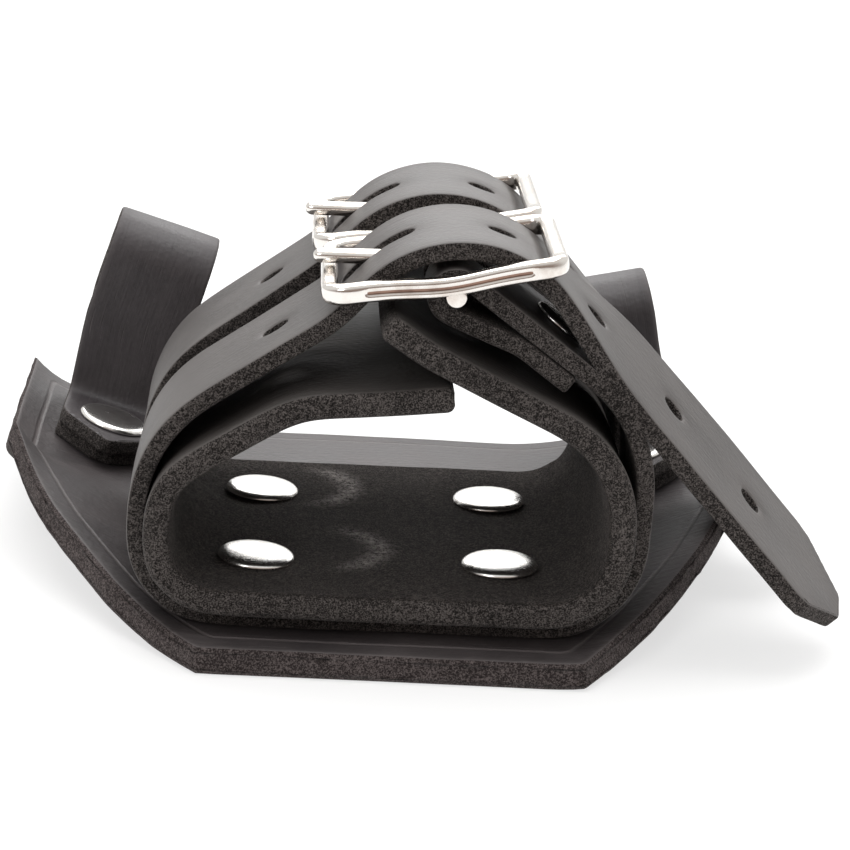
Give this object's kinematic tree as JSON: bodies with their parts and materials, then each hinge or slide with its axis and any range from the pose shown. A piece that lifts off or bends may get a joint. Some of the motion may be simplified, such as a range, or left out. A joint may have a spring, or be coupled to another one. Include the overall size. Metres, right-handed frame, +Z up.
{
  "type": "two-strap buckled leather cuff on a backing plate",
  "caption": "Leather cuff closed by buckled straps, riveted on a cupped six-sided leather plate with an upright keeper loop on each wing.",
  "frame": {"origin": "on the flat underside of the base plate, midway between the four cuff rivets", "axes": "+X across the cuff towards the strap tails, +Y along the cuff tunnel towards the keeper loops, +Z up from the plate to the buckles"},
  "size_m": [0.1339, 0.1085, 0.0653],
  "materials": {
    "plate_leather": "waxed smooth side up, rough cut edges",
    "cuff_leather": "flesh side in, fuzzy cut edges",
    "strap_leather": "smooth matte side out",
    "loop_leather": "smooth matte",
    "rivet_nickel": "bright nickel",
    "buckle_nickel": "polished nickel"
  },
  "bodies": {
    "cuff_body": {"base_plate": "plate_leather", "chape_rivet_cap_front": "rivet_nickel", "chape_rivet_cap_rear": "rivet_nickel", "chape_rivet_post_front": "rivet_nickel", "chape_rivet_post_rear": "rivet_nickel", "cuff": "cuff_leather", "cuff_rivet_cap_front_left": "rivet_nickel", "cuff_rivet_cap_front_right": "rivet_nickel", "cuff_rivet_cap_rear_left": "rivet_nickel", "cuff_rivet_cap_rear_right": "rivet_nickel", "cuff_rivet_post_front_left": "rivet_nickel", "cuff_rivet_post_front_right": "rivet_nickel", "cuff_rivet_post_rear_left": "rivet_nickel", "cuff_rivet_post_rear_right": "rivet_nickel", "front_strap": "strap_leather", "left_loop": "loop_leather", "left_loop_rivet_cap": "rivet_nickel", "left_loop_rivet_post": "rivet_nickel", "rear_strap": "strap_leather", "right_loop": "loop_leather", "right_loop_rivet_cap": "rivet_nickel", "right_loop_rivet_post": "rivet_nickel"},
    "front_frame": {"front_buckle_frame": "buckle_nickel"},
    "front_prong": {"front_buckle_prong": "buckle_nickel"},
    "rear_frame": {"rear_buckle_frame": "buckle_nickel"},
    "rear_prong": {"rear_buckle_prong": "buckle_nickel"}
  },
  "joints": [
    {"name": "front_buckle_rock", "type": "hinge", "parent": "cuff_body", "child": "front_frame", "pos_m": [0.0084, -0.0158, 0.057], "axis": [0, 1, 0], "range_deg": [-0.8, 1.8]},
    {"name": "front_prong_lift", "type": "hinge", "parent": "front_frame", "child": "front_prong", "pos_m": [0.0084, -0.0158, 0.057], "axis": [0, 1, 0], "range_deg": [0, 4.5]},
    {"name": "rear_buckle_rock", "type": "hinge", "parent": "cuff_body", "child": "rear_frame", "pos_m": [0.007, 0.0158, 0.057], "axis": [0, 1, 0], "range_deg": [-0.8, 1.8]},
    {"name": "rear_prong_lift", "type": "hinge", "parent": "rear_frame", "child": "rear_prong", "pos_m": [0.007, 0.0158, 0.057], "axis": [0, 1, 0], "range_deg": [0, 4.5]}
  ]
}
